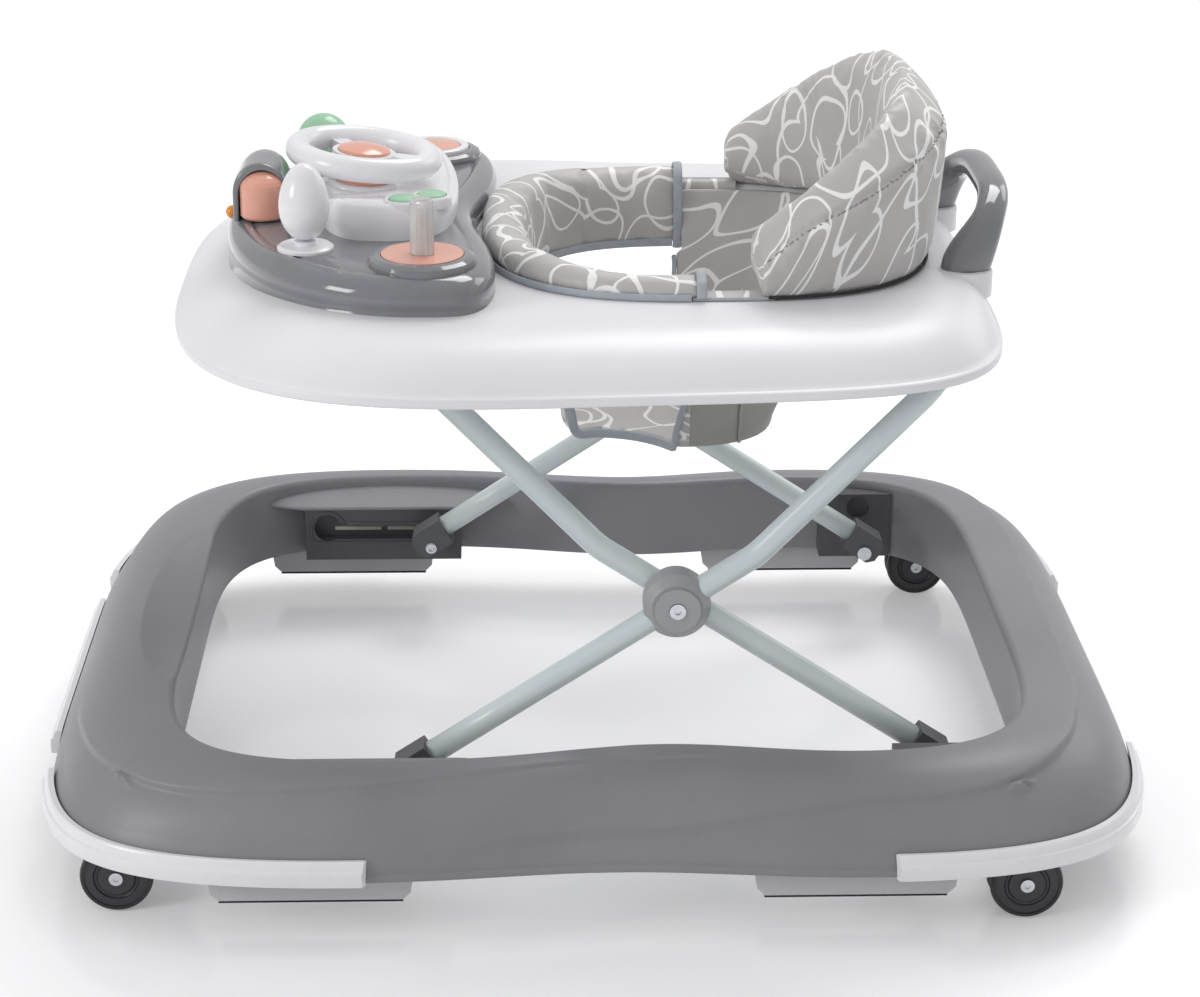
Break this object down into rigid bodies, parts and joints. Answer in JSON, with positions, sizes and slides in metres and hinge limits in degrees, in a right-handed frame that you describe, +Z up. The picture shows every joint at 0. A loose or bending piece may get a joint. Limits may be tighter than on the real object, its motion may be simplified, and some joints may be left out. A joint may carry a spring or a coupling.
{
  "type": "baby walker",
  "caption": "Baby walker with a moulded ring base on swivel casters, a folding scissor frame of bent tube, a padded fabric seat, and a tray with a toy console.",
  "frame": {"origin": "on the floor under the middle of the base", "axes": "+Z up, the child faces -X, +Y on the child's right"},
  "size_m": [0.7453, 0.6358, 0.5003],
  "materials": {
    "base_grey": "satin moulded plastic",
    "socket_grey": "satin moulded plastic",
    "white_plastic": "glossy moulded plastic",
    "stop_plastic": "satin moulded plastic",
    "stop_rubber": "matt rubber",
    "track_plastic": "satin moulded plastic",
    "steel": "bright plated steel",
    "caster_plastic": "glossy moulded plastic",
    "tyre": "smooth rubber",
    "tube_paint": "powder-coated steel tube",
    "cover_plastic": "glossy moulded plastic",
    "cap_plastic": "satin moulded plastic",
    "shoe_plastic": "acetal, satin",
    "tray_white": "semi-gloss moulded plastic",
    "rack_plastic": "satin moulded plastic",
    "console_grey": "glossy moulded plastic",
    "peach_plastic": "glossy moulded plastic",
    "green_plastic": "glossy moulded plastic",
    "clear_plastic": "clear glossy plastic",
    "orange_plastic": "glossy moulded plastic",
    "seat_print": "printed coated polyester over foam",
    "seat_lining": "coated polyester lining"
  },
  "bodies": {
    "base": {"base_shell": "base_grey", "caster_sockets": "socket_grey", "corner_bumpers": "white_plastic", "front_bumper": "white_plastic", "stop_blocks": "stop_plastic", "stop_strips": "stop_rubber", "slot_tracks": "track_plastic", "pivot_brackets": "track_plastic", "pivot_pins": "steel"},
    "caster_front_left": {"yoke_front_left": "caster_plastic"},
    "wheel_front_left": {"wheels_front_left": "caster_plastic", "tyres_front_left": "tyre", "axle_front_left": "steel"},
    "caster_front_right": {"yoke_front_right": "caster_plastic"},
    "wheel_front_right": {"wheels_front_right": "caster_plastic", "tyres_front_right": "tyre", "axle_front_right": "steel"},
    "caster_rear_left": {"yoke_rear_left": "caster_plastic"},
    "wheel_rear_left": {"wheels_rear_left": "caster_plastic", "tyres_rear_left": "tyre", "axle_rear_left": "steel"},
    "caster_rear_right": {"yoke_rear_right": "caster_plastic"},
    "wheel_rear_right": {"wheels_rear_right": "caster_plastic", "tyres_rear_right": "tyre", "axle_rear_right": "steel"},
    "rear_arm": {"rear_arm_tube": "tube_paint", "hub_inner_covers": "cover_plastic", "rear_end_caps": "cap_plastic"},
    "front_arm": {"front_arm_tube": "tube_paint", "hub_outer_covers": "cover_plastic", "hub_bolts": "steel", "front_end_caps": "cap_plastic"},
    "shoe_left": {"slider_shoe_left": "shoe_plastic"},
    "shoe_right": {"slider_shoe_right": "shoe_plastic"},
    "tray": {"tray_shell": "tray_white", "height_rack": "rack_plastic", "bar_clamps": "rack_plastic", "grab_handle": "console_grey", "console_base": "console_grey", "dash_housing": "white_plastic", "egg_stand": "white_plastic", "pod_rings": "console_grey", "near_pod_disc": "peach_plastic", "tower_hood": "console_grey", "orange_knob": "orange_plastic", "seat_front_band": "seat_print", "seat_sling": "seat_lining", "backrest_cushion": "seat_print"},
    "latch": {"height_latch": "cover_plastic"},
    "steering": {"steering_column": "peach_plastic", "steering_wheel": "white_plastic"},
    "horn": {"horn_button": "peach_plastic"},
    "button_upper": {"dash_button_upper": "green_plastic"},
    "button_lower": {"dash_button_lower": "green_plastic"},
    "egg": {"egg_toy": "white_plastic"},
    "dome": {"mirror_dome": "green_plastic"},
    "roller": {"pod_roller": "clear_plastic"},
    "far_button": {"far_pod_button": "peach_plastic"},
    "drum": {"tower_drum": "peach_plastic"}
  },
  "joints": [
    {"name": "caster_front_left_swivel", "type": "hinge", "parent": "base", "child": "caster_front_left", "pos_m": [-0.302, -0.25, 0.06], "axis": [0, 0, 1], "continuous": true},
    {"name": "wheel_front_left_spin", "type": "hinge", "parent": "caster_front_left", "child": "wheel_front_left", "pos_m": [-0.312, -0.25, 0.0238], "axis": [0, 1, 0], "continuous": true},
    {"name": "caster_front_right_swivel", "type": "hinge", "parent": "base", "child": "caster_front_right", "pos_m": [-0.302, 0.25, 0.06], "axis": [0, 0, 1], "continuous": true},
    {"name": "wheel_front_right_spin", "type": "hinge", "parent": "caster_front_right", "child": "wheel_front_right", "pos_m": [-0.312, 0.25, 0.0238], "axis": [0, 1, 0], "continuous": true},
    {"name": "caster_rear_left_swivel", "type": "hinge", "parent": "base", "child": "caster_rear_left", "pos_m": [0.266, -0.272, 0.06], "axis": [0, 0, 1], "continuous": true},
    {"name": "wheel_rear_left_spin", "type": "hinge", "parent": "caster_rear_left", "child": "wheel_rear_left", "pos_m": [0.276, -0.272, 0.0238], "axis": [0, 1, 0], "continuous": true},
    {"name": "caster_rear_right_swivel", "type": "hinge", "parent": "base", "child": "caster_rear_right", "pos_m": [0.266, 0.272, 0.06], "axis": [0, 0, 1], "continuous": true},
    {"name": "wheel_rear_right_spin", "type": "hinge", "parent": "caster_rear_right", "child": "wheel_rear_right", "pos_m": [0.276, 0.272, 0.0238], "axis": [0, 1, 0], "continuous": true},
    {"name": "fold", "type": "hinge", "parent": "base", "child": "rear_arm", "pos_m": [0.222, 0, 0.07], "axis": [0, -1, 0], "range_deg": [0, 27]},
    {"name": "scissor", "type": "hinge", "parent": "rear_arm", "child": "front_arm", "pos_m": [0.0515, 0, 0.19], "axis": [0, 1, 0], "range_deg": [0, 54]},
    {"name": "tray_level", "type": "hinge", "parent": "front_arm", "child": "tray", "pos_m": [0.22651, 0, 0.352], "axis": [0, -1, 0], "range_deg": [0, 27]},
    {"name": "shoe_left_turn", "type": "hinge", "parent": "front_arm", "child": "shoe_left", "pos_m": [-0.119, -0.231, 0.07], "axis": [0, -1, 0], "range_deg": [0, 27]},
    {"name": "shoe_right_turn", "type": "hinge", "parent": "front_arm", "child": "shoe_right", "pos_m": [-0.119, 0.231, 0.07], "axis": [0, -1, 0], "range_deg": [0, 27]},
    {"name": "height_latch_swing", "type": "hinge", "parent": "tray", "child": "latch", "pos_m": [-0.16751, 0, 0.335], "axis": [0, -1, 0], "range_deg": [0, 18]},
    {"name": "steering_turn", "type": "hinge", "parent": "tray", "child": "steering", "pos_m": [-0.154, 0, 0.4375], "axis": [0.1045, 0, 0.9945], "range_deg": [-90, 90]},
    {"name": "horn_press", "type": "slide", "parent": "steering", "child": "horn", "axis": [-0.1045, 0, -0.9945], "range_m": [0, 0.003], "stiffness_N_per_m": 700},
    {"name": "button_upper_press", "type": "slide", "parent": "tray", "child": "button_upper", "axis": [0, 0, -1], "range_m": [0, 0.002], "stiffness_N_per_m": 600},
    {"name": "button_lower_press", "type": "slide", "parent": "tray", "child": "button_lower", "axis": [0, 0, -1], "range_m": [0, 0.002], "stiffness_N_per_m": 600},
    {"name": "far_button_press", "type": "slide", "parent": "tray", "child": "far_button", "axis": [0, 0, -1], "range_m": [0, 0.0025], "stiffness_N_per_m": 700},
    {"name": "egg_spin", "type": "hinge", "parent": "tray", "child": "egg", "pos_m": [-0.188, -0.107, 0.42], "axis": [0, 0, 1], "continuous": true},
    {"name": "dome_spin", "type": "hinge", "parent": "tray", "child": "dome", "pos_m": [-0.188, 0.107, 0.42], "axis": [0, 0, 1], "continuous": true},
    {"name": "roller_spin", "type": "hinge", "parent": "tray", "child": "roller", "pos_m": [-0.111, -0.141, 0.42], "axis": [0, 0, 1], "continuous": true},
    {"name": "drum_spin", "type": "hinge", "parent": "tray", "child": "drum", "pos_m": [-0.221, -0.031, 0.42], "axis": [0, 0, 1], "continuous": true}
  ],
  "couplings": [
    {"joint": "scissor", "follows": "fold", "ratio": 2},
    {"joint": "tray_level", "follows": "fold", "ratio": 1},
    {"joint": "shoe_left_turn", "follows": "fold", "ratio": 1},
    {"joint": "shoe_right_turn", "follows": "fold", "ratio": 1}
  ]
}
